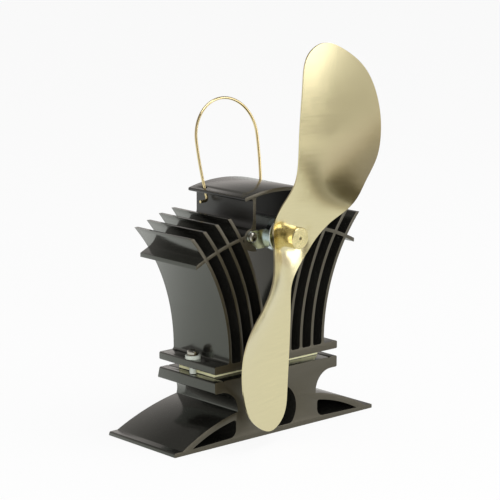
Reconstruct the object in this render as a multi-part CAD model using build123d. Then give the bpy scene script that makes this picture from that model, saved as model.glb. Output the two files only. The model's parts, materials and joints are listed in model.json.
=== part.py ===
from build123d import *
import math
import os

# Thermoelectric stove fan in millimetres, +Z up.
# The origin lies on the stove top, half way along the depth of the two extrusions.
# The blade turns in front of them, towards -Y, and every extruded section runs along Y.

# Extrusion depth, shared by the base and the heat sink
extrusion_depth = 48.0

# Base extrusion
base_half_width = 75.5
base_height = 36.85
base_rear_run = 10.0
toe_height = 2.5
toe_length = 5.7
toe_edge_radius = 1.0
foot_edge_radius = 0.4
ramp_top_height = 17.5
ramp_bulge = 1.95
neck_half_width = 29.8
cove_radius = 11.8
platform_half_width = 46.4
platform_thickness = 6.6
platform_edge_radius = 0.9
seat_groove_offset = 39.75
seat_groove_width = 0.9
seat_groove_depth = 0.5

# Side windows and centre hole of the base
window_tip_from_toe = 7.0
window_tip_height = 2.5
window_floor_height = 3.3
window_inner_offset = 31.0
window_inner_height = 13.2
window_bulge = 1.5
window_floor_radius = 4.6
window_roof_radius = 1.5
hole_radius = 14.4
hole_centre_height = 13.0
hole_floor_height = 3.3
hole_corner_radius = 3.0

# Thermoelectric sandwich between base and heat sink
module_half_width = 39.5
module_depth = 30.0
foil_thickness = 0.2
lower_ceramic_thickness = 0.8
pellet_height = 2.05
upper_ceramic_thickness = 1.1
module_joint = 0.2
gasket_wall = 1.4
gasket_rib = 2.0
gasket_clearance = 0.15
pellet_width = 2.6
pellet_columns = 6
pellet_rows = 4

# Heat sink plate and fins
sink_half_width = 46.5
sink_plate_thickness = 4.5
sink_edge_radius = 0.9
fin_count = 4
fin_outer_offset = 36.0
fin_pitch = 8.5
fin_thickness = 1.95
fin_root_radius = 1.4
fin_straight = 2.3
fin_bend_radius = 106.0
fin_top_above_axis = 12.7
fin_height_shares = (0.904, 0.940, 0.975, 1.0)

# Motor axis above the plate, which everything round the motor follows
axis_above_plate = 68.6

# Cross webs, screw ports and their hooks
web_radius = 130.0
web_thickness = 2.0
web_crown_above_axis = 3.2
web_stub = 6.09
port_offset = 20.1
port_above_axis = 0.8
port_radius = 4.5
port_hole_radius = 1.5
port_slit = 1.2
hook_tip_offset = 15.6
hook_tip_drop = 7.8
hook_root_offset = 24.8
hook_root_drop = 4.9
hook_bulge = 0.8
hook_tip_thickness = 1.5
hook_joint_share = 0.66

# Box over the motor and arched cap
box_half_width = 18.4
box_wall = 2.1
box_foot_above_axis = 10.0
box_flare_offset = 24.3
box_flare_above_axis = 2.6
flare_bulge_share = 0.17
box_corner_radius = 1.5
cap_half_width = 24.4
cap_edge_above_axis = 22.7
cap_rise = 3.2
cap_thickness = 2.05
cap_edge_radius = 0.9

# Clamp screws with shoulder washers and spring washers
clamp_offset = 42.0
clamp_screw_radius = 1.5
clamp_screw_length = 16.0
clamp_head_radius = 3.25
clamp_head_height = 2.1
shoulder_flange_radius = 4.35
shoulder_flange_height = 2.0
shoulder_sleeve_radius = 2.0
shoulder_sleeve_gap = 0.2
washer_edge_share = 0.25
spring_washer_radius = 3.0
spring_washer_height = 0.7
spring_washer_split = 0.6
screw_fit = 0.05
sleeve_fit = 0.15

# Heads of all the screws: their dome and cross recess, as shares of the head's height and width
head_dome_share = 0.55
recess_length_share = 0.55
recess_width_share = 0.16
recess_depth_share = 0.6

# Motor bracket, a pressed strap with a round pan
bracket_thickness = 0.8
bracket_ear_radius = 3.3
bracket_ear_inner_offset = 15.8
bracket_ear_above_axis = 4.0
bracket_ear_below_axis = 6.3
pan_radius = 10.0
pan_depth = 4.0
pan_edge_radius = 0.7
bracket_screw_radius = 1.45
bracket_screw_length = 12.0
bracket_head_radius = 2.9
bracket_head_height = 2.2

# Motor, held in the pan by two face screws
motor_length = 24.0
motor_wall = 0.7
motor_pan_fit = 0.05
boss_radius = 3.0
boss_length = 1.6
boss_fit = 0.2
bush_radius = 2.0
bush_length = 3.1
bush_running_fit = 0.02
magnet_thickness = 1.7
magnet_slot = 3.0
magnet_length = 14.0
end_cap_flange = 1.5
end_cap_plug = 2.0
end_cap_fit = 0.05
end_cap_boss_radius = 3.2
end_cap_boss_height = 1.0
motor_screw_offset = 5.4
motor_screw_radius = 0.8
motor_screw_length = 2.6
motor_head_radius = 1.4
motor_head_height = 0.9
terminal_offset = 5.6
terminal_width = 2.0
terminal_thickness = 0.5
terminal_length = 4.0
brush_width = 1.6
brush_thickness = 0.3
brush_gap = 0.1

# Rotor
shaft_radius = 1.0
shaft_end_play = 0.1
armature_gap = 0.4
armature_length = 10.0
armature_hub_radius = 2.2
pole_count = 3
pole_width = 2.0
pole_shoe_thickness = 1.1
pole_shoe_gap = 1.3
coil_overhang = 1.2
coil_width = 5.0
coil_depth = 1.9
coil_fit = 0.05
commutator_radius = 1.9
commutator_length = 3.0
commutator_spacing = 0.8
thrust_washer_thickness = 0.3

# Hub and the collar behind the blade
hub_radius = 6.1
hub_pan_gap = 2.4
hub_body_length = 9.25
hub_edge_chamfer = 0.4
hub_spigot_radius = 4.0
hub_recess = 1.0
collar_thickness = 1.85

# Blade, one twisted sheet whose two wings are turned forward along a crease beside the hub
blade_floor_clearance = 6.8
blade_half_chord = 50.9
blade_thickness = 0.9
blade_flat_radius = 6.4
blade_flat_run = 9.0
blade_dish = 4.2
blade_dish_run = 45.0
blade_slope = 0.334
blade_slope_fade = 0.188
blade_twist_run = 80.0
blade_crown = 0.12
root_crown = 0.35
root_crown_run = 40.0
crease_offset = 8.2
crease_tilt = 0.18
crease_radius = 3.0
crease_slope = 0.475
crease_run = 22.1
crease_rise = 8.9
wing_width_shares = (-0.333, -0.245, -0.107, 0.017, 0.057, 0.074, 0.109, 0.176, 0.363,
                     0.603, 0.851, 0.977, 1.0, 0.915, 0.721, 0.543, 0.398)
wing_height_shares = (0.0, 0.090, 0.173, 0.259, 0.380, 0.564, 0.794, 0.931, 0.985,
                      0.950, 0.845, 0.696, 0.549, 0.402, 0.270, 0.140, 0.056)
blade_columns = 19
blade_column_spread = 1.2
blade_rows = 31
blade_row_spread = 1.3
blade_sheet_margin = 1.12

# Bail handle, a wire loop with its feet under the cap
bail_wire_radius = 0.8
bail_hole_radius = 1.5
bail_hole_offset = 20.95
bail_hole_behind_middle = 13.7
bail_loop_radius = 22.7
bail_loop_height = 49.8
bail_leg_below = 4.6
bail_bend_radius = 1.7
bail_foot_length = 3.4
bail_lean_degrees = 10.8

# Overrun of every cutting tool
overrun = 3.0

# Levels and places that follow from the sizes above
front_face = -extrusion_depth / 2
rear_face = extrusion_depth / 2
module_stack = (foil_thickness + lower_ceramic_thickness + pellet_height
                + upper_ceramic_thickness + foil_thickness)
sink_bottom = base_height + module_stack
plate_top = sink_bottom + sink_plate_thickness
axis_height = plate_top + axis_above_plate
port_height = axis_height + port_above_axis
bracket_front = front_face - bracket_thickness
pan_front = front_face - pan_depth
motor_front = pan_front + bracket_thickness
motor_radius = pan_radius - bracket_thickness - motor_pan_fit
motor_rear = motor_front + motor_length
motor_bore = motor_radius - motor_wall
front_bush_front = motor_front - boss_length
front_bush_rear = front_bush_front + bush_length
plug_front = motor_rear - end_cap_plug
rear_bush_rear = plug_front + bush_length
commutator_rear = plug_front - commutator_spacing
commutator_front = commutator_rear - commutator_length
armature_rear = commutator_front - commutator_spacing - coil_overhang
armature_front = armature_rear - armature_length
armature_radius = motor_bore - magnet_thickness - armature_gap
hub_rear = pan_front - hub_pan_gap
blade_rear = hub_rear - collar_thickness
blade_front = blade_rear - blade_thickness
hub_front = blade_front - hub_body_length
blade_radius = axis_height - blade_floor_clearance
cap_crown_height = axis_height + cap_edge_above_axis + cap_rise
fin_bend_start = plate_top + fin_straight
fin_bend_centre = fin_outer_offset + fin_bend_radius
web_centre = axis_height + web_crown_above_axis - web_radius


def region(left, right, bottom, top):
    """Rectangle in a section, between two X values and two heights."""
    return Pos((left + right) / 2, (bottom + top) / 2) * Rectangle(right - left, top - bottom)


def push(section, front, rear):
    """Extrude a section drawn in X and Z from the plane y = front back to y = rear."""
    return Pos(0, front, 0) * extrude(Plane.XZ * section, amount=front - rear)


def both_sides(shape):
    """The shape together with its mirror image on the other side of the middle plane."""
    return shape + mirror(shape, about=Plane.YZ)


def turned(radius, front, rear, x=0, z=axis_height):
    """Cylinder along Y."""
    return push(Pos(x, z) * Circle(radius), front, rear)


def upright(radius, x, y, bottom, top):
    """Cylinder along Z."""
    return Pos(x, y, (bottom + top) / 2) * Cylinder(radius, top - bottom)


def block(left, right, front, rear, bottom, top):
    """Box between three pairs of planes."""
    return push(region(left, right, bottom, top), front, rear)


def corner_at(section, x, z):
    """The corner of a section that lies nearest to a place."""
    return min(section.vertices(), key=lambda corner: math.hypot(corner.X - x, corner.Y - z))


def rounded(section, radius, places):
    """Round the corners nearest to the given places."""
    return fillet([corner_at(section, x, z) for x, z in places], radius)


def arch_height(x, crown):
    """Height of the cap's circular arch at a distance from its middle."""
    arch_radius = (cap_half_width ** 2 + cap_rise ** 2) / (2 * cap_rise)
    return crown - arch_radius + math.sqrt(arch_radius ** 2 - x ** 2)


def pan_head(radius, height):
    """Screw head standing on z = 0, domed, with a cross recess."""
    head = extrude(Circle(radius), amount=height)
    dome_edge = head.edges().sort_by(Axis.Z)[-1]
    head = fillet(dome_edge, height * head_dome_share)
    slot = Rectangle(2 * radius * recess_length_share, 2 * radius * recess_width_share)
    cross = slot + Rot(0, 0, 90) * slot
    recess_floor = height * (1 - recess_depth_share)
    return head - Pos(0, 0, recess_floor) * extrude(cross, amount=height)


def front_screw(x, z, seat, head_radius, head_height, shank_radius, length):
    """Pan head screw that points back along +Y, its head on the plane y = seat."""
    head = Pos(x, seat, z) * Rot(90, 0, 0) * pan_head(head_radius, head_height)
    return head + turned(shank_radius, seat, seat + length, x, z)


# Base extrusion

def side_window():
    """Section of the right side window, wide at the neck and sharp at the toe."""
    tip = (base_half_width - toe_length - window_tip_from_toe, window_tip_height)
    floor_corner = (window_inner_offset, window_floor_height)
    roof_corner = (window_inner_offset, window_inner_height)
    outline = [
        Line(tip, floor_corner),
        Line(floor_corner, roof_corner),
        SagittaArc(roof_corner, tip, window_bulge),
    ]
    window = make_face(outline)
    window = rounded(window, window_floor_radius, [floor_corner])
    return rounded(window, window_roof_radius, [roof_corner])


def centre_hole():
    """Section of the round hole with its flat floor."""
    disc = Pos(0, hole_centre_height) * Circle(hole_radius)
    below = region(-hole_radius - overrun, hole_radius + overrun, -overrun, hole_floor_height)
    hole = disc - below
    drop = hole_centre_height - hole_floor_height
    chord = math.sqrt(hole_radius ** 2 - drop ** 2)
    return rounded(hole, hole_corner_radius,
                   [(-chord, hole_floor_height), (chord, hole_floor_height)])


def base_section():
    """Feet, ramps, neck and platform, with the windows, the hole and the two grooves."""
    underside = base_height - platform_thickness
    cove_start = underside - cove_radius
    cove_end = neck_half_width + cove_radius
    cove_middle = (cove_end - cove_radius * math.sqrt(0.5), cove_start + cove_radius * math.sqrt(0.5))
    toe_inner = base_half_width - toe_length
    outline = [
        Line((0, 0), (base_half_width, 0)),
        Line((base_half_width, 0), (base_half_width, toe_height)),
        Line((base_half_width, toe_height), (toe_inner, toe_height)),
        SagittaArc((toe_inner, toe_height), (neck_half_width, ramp_top_height), -ramp_bulge),
        Line((neck_half_width, ramp_top_height), (neck_half_width, cove_start)),
        ThreePointArc((neck_half_width, cove_start), cove_middle, (cove_end, underside)),
        Line((cove_end, underside), (platform_half_width, underside)),
        Line((platform_half_width, underside), (platform_half_width, base_height)),
        Line((platform_half_width, base_height), (0, base_height)),
        Line((0, base_height), (0, 0)),
    ]
    half = make_face(outline)
    half = rounded(half, toe_edge_radius, [(base_half_width, toe_height)])
    half = rounded(half, foot_edge_radius, [(base_half_width, 0)])
    half = rounded(half, platform_edge_radius,
                   [(platform_half_width, underside), (platform_half_width, base_height)])
    groove = region(seat_groove_offset, seat_groove_offset + seat_groove_width,
                    base_height - seat_groove_depth, base_height + overrun)
    half = half - groove - side_window()
    return both_sides(half) - centre_hole()


def base():
    """Extruded section, its rear end cut at a slant so that the foot is deeper than the platform."""
    foot_rear = rear_face + base_rear_run
    solid = push(base_section(), front_face, foot_rear)
    slope = base_rear_run / base_height
    top = base_height + overrun
    bottom = -overrun
    wedge = Polyline(
        (rear_face - slope * overrun, top),
        (foot_rear + slope * overrun, bottom),
        (foot_rear + overrun, bottom),
        (foot_rear + overrun, top),
        (rear_face - slope * overrun, top),
    )
    saw_cut = extrude(Plane.YZ * make_face(wedge), amount=base_half_width + overrun, both=True)
    solid = solid - saw_cut
    for side in (-1, 1):
        tap = upright(clamp_screw_radius + screw_fit, side * clamp_offset, 0,
                      base_height - platform_thickness - overrun, base_height + overrun)
        solid = solid - tap
    return solid


# Thermoelectric sandwich

def gasket_window(side):
    """Section, seen from above, of the gasket's window for the module on one side."""
    width = module_half_width - gasket_wall - gasket_rib / 2
    depth = module_depth - 2 * gasket_wall
    middle = gasket_rib / 2 + width / 2
    return Pos(side * middle, 0) * Rectangle(width, depth)


def module_plate(side, bottom, thickness):
    """Rectangular layer that lies in the gasket's window with a small clearance."""
    window = gasket_window(side)
    plate = offset(window, -gasket_clearance, kind=Kind.INTERSECTION)
    return Pos(0, 0, bottom) * extrude(plate, amount=thickness)


def foil_sheet(bottom):
    """Thermal foil over the whole sandwich."""
    sheet = Rectangle(2 * module_half_width, module_depth)
    return Pos(0, 0, bottom) * extrude(sheet, amount=foil_thickness)


def lower_foil():
    return foil_sheet(base_height)


def module_lower_ceramics():
    bottom = base_height + foil_thickness
    return Compound([module_plate(side, bottom, lower_ceramic_thickness) for side in (-1, 1)])


def module_pellets():
    """Thermoelectric legs in rows and columns between the two ceramics."""
    bottom = base_height + foil_thickness + lower_ceramic_thickness
    width = module_half_width - gasket_wall - gasket_rib / 2 - 2 * gasket_clearance
    depth = module_depth - 2 * gasket_wall - 2 * gasket_clearance
    column_pitch = width / pellet_columns
    row_pitch = depth / pellet_rows
    middle = gasket_rib / 2 + gasket_clearance + width / 2
    pellets = []
    for side in (-1, 1):
        for place in GridLocations(column_pitch, row_pitch, pellet_columns, pellet_rows):
            column = extrude(Rectangle(pellet_width, pellet_width), amount=pellet_height)
            pellets.append(Pos(side * middle, 0, bottom) * place * column)
    return Compound(pellets)


def gasket_frame():
    """Pale seal round both modules, from the lower foil up to the upper ceramics."""
    height = lower_ceramic_thickness + pellet_height
    outline = Rectangle(2 * module_half_width, module_depth)
    frame = outline - gasket_window(-1) - gasket_window(1)
    return Pos(0, 0, base_height + foil_thickness) * extrude(frame, amount=height)


def module_upper_ceramics():
    bottom = base_height + foil_thickness + lower_ceramic_thickness + pellet_height
    plates = []
    for side in (-1, 1):
        width = module_half_width - module_joint / 2
        middle = side * (module_joint / 2 + width / 2)
        plate = Pos(middle, 0, bottom) * extrude(Rectangle(width, module_depth),
                                                 amount=upper_ceramic_thickness)
        plates.append(plate)
    return Compound(plates)


def upper_foil():
    return foil_sheet(sink_bottom - foil_thickness)


# Heat sink extrusion

def fin(index):
    """Section of one right-hand fin: a short straight root, then an arc that bends outwards."""
    outer_offset = fin_outer_offset - index * fin_pitch
    bend = fin_bend_radius + index * fin_pitch
    height = axis_above_plate + fin_top_above_axis
    tip = plate_top + height * fin_height_shares[index]
    ring = Pos(fin_bend_centre, fin_bend_start) * (Circle(bend + fin_thickness) - Circle(bend))
    bent = ring & region(0, fin_bend_centre, fin_bend_start, tip)
    root = region(outer_offset - fin_thickness, outer_offset,
                  plate_top - sink_plate_thickness / 2, fin_bend_start)
    return bent + root


def fins_on_plate():
    """Plate and all eight fins, their roots rounded."""
    plate = region(-sink_half_width, sink_half_width, sink_bottom, plate_top)
    plate = rounded(plate, sink_edge_radius,
                    [(side * sink_half_width, level)
                     for side in (-1, 1) for level in (sink_bottom, plate_top)])
    fins = fin(0)
    for index in range(1, fin_count):
        fins = fins + fin(index)
    section = plate + both_sides(fins)
    roots = []
    for index in range(fin_count):
        outer = fin_outer_offset - index * fin_pitch
        for face in (outer, outer - fin_thickness):
            roots.append((face, plate_top))
            roots.append((-face, plate_top))
    return rounded(section, fin_root_radius, roots)


def web_meets_outer_fin():
    """Distance from the middle at which the web's middle line crosses the outermost fin's outer face."""
    drop = fin_bend_start - web_centre
    apart = math.hypot(fin_bend_centre, drop)
    along = (web_radius ** 2 - fin_bend_radius ** 2 + apart ** 2) / (2 * apart)
    aside = math.sqrt(web_radius ** 2 - along ** 2)
    return (along * fin_bend_centre - aside * drop) / apart


def cross_web():
    """Section of the right web, an arc from the screw port across the fins to a stub outside them."""
    outer = web_radius + web_thickness / 2
    inner = web_radius - web_thickness / 2
    ring = Pos(0, web_centre) * (Circle(outer) - Circle(inner))
    end = web_meets_outer_fin() + web_stub
    return ring & region(port_offset, end, plate_top, web_centre + outer + overrun)


def port_and_hook():
    """Section of the right screw port with the hook below it and the foot of the box wall."""
    port = Pos(port_offset, port_height) * Circle(port_radius)
    hook_tip = (hook_tip_offset, axis_height - hook_tip_drop)
    hook_root = (hook_root_offset, axis_height - hook_root_drop)
    hook_top = (hook_root_offset, axis_height + web_crown_above_axis - web_thickness)
    hook_inner = (hook_tip_offset + hook_tip_thickness / 2, axis_height - hook_tip_drop + hook_tip_thickness)
    port_side = (port_offset - port_radius * hook_joint_share, port_height - port_radius * hook_joint_share)
    hook = make_face([
        Line(hook_top, hook_root),
        SagittaArc(hook_root, hook_tip, hook_bulge),
        Line(hook_tip, hook_inner),
        Line(hook_inner, port_side),
        Line(port_side, (port_offset, port_height)),
        Line((port_offset, port_height), hook_top),
    ])
    wall_inner = box_half_width - box_wall
    foot = axis_height + box_foot_above_axis
    flare_end = (box_flare_offset, axis_height + box_flare_above_axis)
    flare_run = box_flare_offset - box_half_width
    flare_drop = box_foot_above_axis - box_flare_above_axis
    flare_bulge = math.hypot(flare_run, flare_drop) * flare_bulge_share
    flare = make_face([
        Line((wall_inner, foot), (box_half_width, foot)),
        SagittaArc((box_half_width, foot), flare_end, -flare_bulge),
        Line(flare_end, (port_offset, port_height)),
        Line((port_offset, port_height), (wall_inner, port_height + port_above_axis)),
        Line((wall_inner, port_height + port_above_axis), (wall_inner, foot)),
    ])
    slit = region(port_offset - port_radius - overrun, port_offset,
                  port_height - port_slit / 2, port_height + port_slit / 2)
    hole = Pos(port_offset, port_height) * Circle(port_hole_radius)
    return port + hook + flare - slit - hole


def cap_and_walls():
    """Section of the arched cap with the two walls of the box hanging from it."""
    edge = axis_height + cap_edge_above_axis
    crown = cap_crown_height
    top_arch = ThreePointArc((-cap_half_width, edge), (0, crown), (cap_half_width, edge))
    low_arch = ThreePointArc((cap_half_width, edge - cap_thickness), (0, crown - cap_thickness),
                             (-cap_half_width, edge - cap_thickness))
    cap = make_face([
        top_arch,
        Line((cap_half_width, edge), (cap_half_width, edge - cap_thickness)),
        low_arch,
        Line((-cap_half_width, edge - cap_thickness), (-cap_half_width, edge)),
    ])
    cap = rounded(cap, cap_edge_radius,
                  [(side * cap_half_width, level)
                   for side in (-1, 1) for level in (edge, edge - cap_thickness)])
    wall_inner = box_half_width - box_wall
    foot = axis_height + box_foot_above_axis
    wall = region(wall_inner, box_half_width, foot - box_wall, edge)
    section = cap + both_sides(wall)
    under_outer = arch_height(box_half_width, crown - cap_thickness)
    under_inner = arch_height(wall_inner, crown - cap_thickness)
    return rounded(section, box_corner_radius,
                   [(side * place, level) for side in (-1, 1)
                    for place, level in ((box_half_width, under_outer), (wall_inner, under_inner))])


def heat_sink():
    """One extrusion: plate, fins, webs, screw ports, box and cap, drilled afterwards."""
    sides = both_sides(cross_web() + port_and_hook())
    section = fins_on_plate() + sides + cap_and_walls()
    for side in (-1, 1):
        section = section - Pos(side * port_offset, port_height) * Circle(port_hole_radius)
    solid = push(section, front_face, rear_face)
    for side in (-1, 1):
        clearance_hole = upright(shoulder_sleeve_radius + sleeve_fit, side * clamp_offset, 0,
                                 sink_bottom - overrun, plate_top + overrun)
        bail_hole = upright(bail_hole_radius, side * bail_hole_offset, bail_hole_behind_middle,
                            cap_crown_height - cap_rise - cap_thickness - overrun,
                            cap_crown_height + overrun)
        solid = solid - clearance_hole - bail_hole
    return solid


# Clamp screws and their washers

def insulating_washers():
    """Shoulder washers: the flange lies on the plate, the sleeve lines its hole."""
    washers = []
    for side in (-1, 1):
        x = side * clamp_offset
        flange = upright(shoulder_flange_radius, x, 0, plate_top, plate_top + shoulder_flange_height)
        flange = fillet(flange.edges().sort_by(Axis.Z)[-1], shoulder_flange_height * washer_edge_share)
        sleeve = upright(shoulder_sleeve_radius, x, 0, base_height + shoulder_sleeve_gap, plate_top)
        bore = upright(clamp_screw_radius + screw_fit, x, 0, base_height - overrun,
                       plate_top + shoulder_flange_height + overrun)
        washers.append(flange + sleeve - bore)
    return Compound(washers)


def spring_washers():
    """Split rings between washer and screw head."""
    bottom = plate_top + shoulder_flange_height
    washers = []
    for side in (-1, 1):
        ring = Circle(spring_washer_radius) - Circle(clamp_screw_radius + screw_fit)
        split = region(0, spring_washer_radius + overrun, -spring_washer_split / 2,
                       spring_washer_split / 2)
        ring = ring - Rot(0, 0, 90) * split
        washers.append(Pos(side * clamp_offset, 0, bottom) * extrude(ring, amount=spring_washer_height))
    return Compound(washers)


def clamp_screws():
    seat = plate_top + shoulder_flange_height + spring_washer_height
    screws = []
    for side in (-1, 1):
        x = side * clamp_offset
        head = Pos(x, 0, seat) * pan_head(clamp_head_radius, clamp_head_height)
        screws.append(head + upright(clamp_screw_radius, x, 0, seat - clamp_screw_length, seat))
    return Compound(screws)


# Bracket and motor

def motor_bracket():
    """Pressed strap: two ears on the heat sink's front face and a round pan between them."""
    bottom = axis_height - bracket_ear_below_axis
    top = axis_height + bracket_ear_above_axis
    body = region(-bracket_ear_inner_offset, bracket_ear_inner_offset, bottom, top)
    end = Pos(port_offset, port_height) * Circle(bracket_ear_radius)
    upper_arm = region(0, port_offset, port_height, port_height + bracket_ear_radius)
    lower_arm = Polyline(
        (0, bottom), (bracket_ear_inner_offset, bottom),
        (port_offset + bracket_ear_radius * math.cos(math.pi / 4),
         port_height - bracket_ear_radius * math.sin(math.pi / 4)),
        (port_offset, port_height), (0, port_height), (0, bottom),
    )
    strap = body + both_sides(end + upper_arm + make_face(lower_arm))
    strap = strap + Pos(0, axis_height) * Circle(pan_radius)
    for side in (-1, 1):
        strap = strap - Pos(side * port_offset, port_height) * Circle(bracket_screw_radius + screw_fit)
    plate = push(strap, bracket_front, front_face)
    pan = turned(pan_radius, pan_front, front_face)
    pan = fillet(pan.edges().sort_by(Axis.Y)[0], pan_edge_radius)
    hollow = turned(pan_radius - bracket_thickness, motor_front, front_face + overrun)
    centre = turned(boss_radius + boss_fit, pan_front - overrun, front_face)
    bracket = plate + pan - hollow - centre
    for side in (-1, 1):
        bracket = bracket - turned(motor_screw_radius + screw_fit, pan_front - overrun, front_face,
                                   side * motor_screw_offset)
    return bracket


def bracket_screws():
    return Compound([front_screw(side * port_offset, port_height, bracket_front, bracket_head_radius,
                                 bracket_head_height, bracket_screw_radius, bracket_screw_length)
                     for side in (-1, 1)])


def motor_screws():
    return Compound([front_screw(side * motor_screw_offset, axis_height, pan_front, motor_head_radius,
                                 motor_head_height, motor_screw_radius, motor_screw_length)
                     for side in (-1, 1)])


def motor_can():
    """Steel cup, open at the rear, with the front bearing boss and two screw holes."""
    can = turned(motor_radius, motor_front, motor_rear)
    can = can - turned(motor_bore, motor_front + motor_wall, motor_rear + overrun)
    can = can + turned(boss_radius, motor_front - boss_length, motor_front + bush_length - boss_length)
    can = can - turned(bush_radius, motor_front - boss_length - overrun, motor_rear)
    for side in (-1, 1):
        can = can - turned(motor_screw_radius + screw_fit, motor_front - overrun,
                           motor_front + motor_wall + overrun, side * motor_screw_offset)
    return can


def motor_magnets():
    """Two arc magnets against the wall of the can."""
    magnet_bore = motor_bore - magnet_thickness
    ring = Circle(motor_bore) - Circle(magnet_bore)
    gaps = Rectangle(2 * (motor_bore + overrun), magnet_slot)
    arcs = Pos(0, axis_height) * (ring - gaps)
    middle = armature_front + armature_length / 2
    return push(arcs, middle - magnet_length / 2, middle + magnet_length / 2)


def motor_end_cap():
    """Plastic rear cap with its plug in the can and a blind boss for the rear bush."""
    flange = turned(motor_radius, motor_rear, motor_rear + end_cap_flange)
    plug = turned(motor_bore - end_cap_fit, plug_front, motor_rear)
    boss = turned(end_cap_boss_radius, motor_rear, motor_rear + end_cap_flange + end_cap_boss_height)
    cap = flange + plug + boss
    cap = cap - turned(bush_radius, plug_front - overrun, rear_bush_rear)
    cap = cap - turned(shaft_radius + bush_running_fit, plug_front, rear_bush_rear + shaft_end_play)
    for side in (-1, 1):
        cap = cap - terminal_block(side, terminal_length)
    return cap


def terminal_block(side, length):
    """One blade terminal through the end cap's flange."""
    x = side * terminal_offset
    return block(x - terminal_width / 2, x + terminal_width / 2, motor_rear,
                 motor_rear + end_cap_flange + length,
                 axis_height - terminal_thickness / 2, axis_height + terminal_thickness / 2)


def motor_terminals():
    return Compound([terminal_block(side, terminal_length) for side in (-1, 1)])


def motor_brushes():
    """Leaf brushes that stand on the end cap's plug, one on each side of the commutator."""
    leaves = []
    for side in (-1, 1):
        inner = commutator_radius + brush_gap
        left, right = sorted((side * inner, side * (inner + brush_thickness)))
        leaves.append(block(left, right, commutator_front, plug_front,
                            axis_height - brush_width / 2, axis_height + brush_width / 2))
    return Compound(leaves)


def bush(front, rear):
    return turned(bush_radius, front, rear) - turned(shaft_radius + bush_running_fit,
                                                     front - overrun, rear + overrun)


# Rotor

def shaft():
    return turned(shaft_radius, hub_front + hub_recess, rear_bush_rear)


def armature_core():
    """Laminated core with its poles and their shoes."""
    shoe_inner = armature_radius - pole_shoe_thickness
    star = Circle(armature_hub_radius)
    gaps = Sketch()
    for index in range(pole_count):
        turn = Rot(0, 0, 360 / pole_count * index)
        star = star + turn * region(0, armature_radius - pole_shoe_thickness / 2,
                                    -pole_width / 2, pole_width / 2)
        half_turn = Rot(0, 0, 360 / pole_count * (index + 1 / 2))
        gaps = gaps + half_turn * region(0, armature_radius + overrun,
                                         -pole_shoe_gap / 2, pole_shoe_gap / 2)
    shoes = Circle(armature_radius) - Circle(shoe_inner) - gaps
    section = star + shoes - Circle(shaft_radius)
    return push(Pos(0, axis_height) * section, armature_front, armature_rear)


def armature_windings():
    """One coil round each pole, seen as a solid ring with its end turns."""
    shoe_inner = armature_radius - pole_shoe_thickness - coil_fit
    outer_reach = math.sqrt(shoe_inner ** 2 - (coil_width / 2) ** 2)
    inner_reach = outer_reach - coil_depth
    coils = []
    for index in range(pole_count):
        turn = Rot(0, 0, 360 / pole_count * index)
        outer = region(inner_reach, outer_reach, -coil_width / 2, coil_width / 2)
        inner = region(inner_reach - overrun, outer_reach + overrun,
                       -pole_width / 2 - coil_fit, pole_width / 2 + coil_fit)
        ring = push(Pos(0, axis_height) * (turn * outer), armature_front - coil_overhang,
                    armature_rear + coil_overhang)
        pole = push(Pos(0, axis_height) * (turn * inner), armature_front - coil_fit,
                    armature_rear + coil_fit)
        coils.append(ring - pole)
    return Compound(coils)


def commutator():
    return turned(commutator_radius, commutator_front, commutator_rear) - turned(
        shaft_radius, commutator_front - overrun, commutator_rear + overrun)


def thrust_washers():
    """Washers on the shaft that take up the end play against the bushes."""
    washers = []
    for front in (front_bush_rear + shaft_end_play,
                  plug_front - shaft_end_play - thrust_washer_thickness):
        rear = front + thrust_washer_thickness
        washers.append(turned(commutator_radius, front, rear)
                       - turned(shaft_radius, front - overrun, rear + overrun))
    return Compound(washers)


# Hub, collar and blade

def hub():
    """Turned nose with the spigot that carries the blade and the collar."""
    nose = turned(hub_radius, hub_front, blade_front)
    nose = chamfer(nose.edges().sort_by(Axis.Y)[0], hub_edge_chamfer)
    spigot = turned(hub_spigot_radius, blade_front, hub_rear)
    return nose + spigot - turned(shaft_radius, hub_front - overrun, hub_rear + overrun)


def blade_collar():
    return turned(hub_radius, blade_rear, hub_rear) - turned(hub_spigot_radius,
                                                           blade_rear - overrun, hub_rear + overrun)


def smooth_step(value):
    """Rises smoothly from 0 at 0 to 1 at 1 and stays there."""
    t = min(max(value, 0), 1)
    return t * t * (3 - 2 * t)


def beyond_crease(x, z):
    """How far forward the right crease beside the hub has turned the sheet, at a place from the axis."""
    past = (x + crease_tilt * z) / math.hypot(1, crease_tilt) - crease_offset
    run = (past + math.hypot(past, crease_radius)) / 2
    return crease_slope * run * math.exp(-((z - crease_rise) / crease_run) ** 2)


def blade_offset(x, z):
    """How far the sheet stands forward (-) of its flat middle, at a place from the axis."""
    dish = -blade_dish * smooth_step(abs(z) / blade_dish_run)
    slope = blade_slope - blade_slope_fade * abs(z) / blade_radius
    twist = -slope * math.tanh(z / blade_twist_run) * x
    crown = blade_crown + root_crown * math.exp(-(z / root_crown_run) ** 2)
    crowned = -crown * x * x / blade_half_chord
    creased = -beyond_crease(x, z) - beyond_crease(-x, -z)
    freedom = smooth_step((math.hypot(x, z) - blade_flat_radius) / blade_flat_run)
    return freedom * (dish + twist + crowned + creased)


def blade_outline():
    """Outline of both wings, the second being the first turned half round the axis."""
    wing = [(blade_half_chord * width, blade_radius * height)
            for width, height in zip(wing_width_shares, wing_height_shares)]
    other = [(-x, -z) for x, z in wing]
    return make_face(Spline(*wing, *other, periodic=True))


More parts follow.
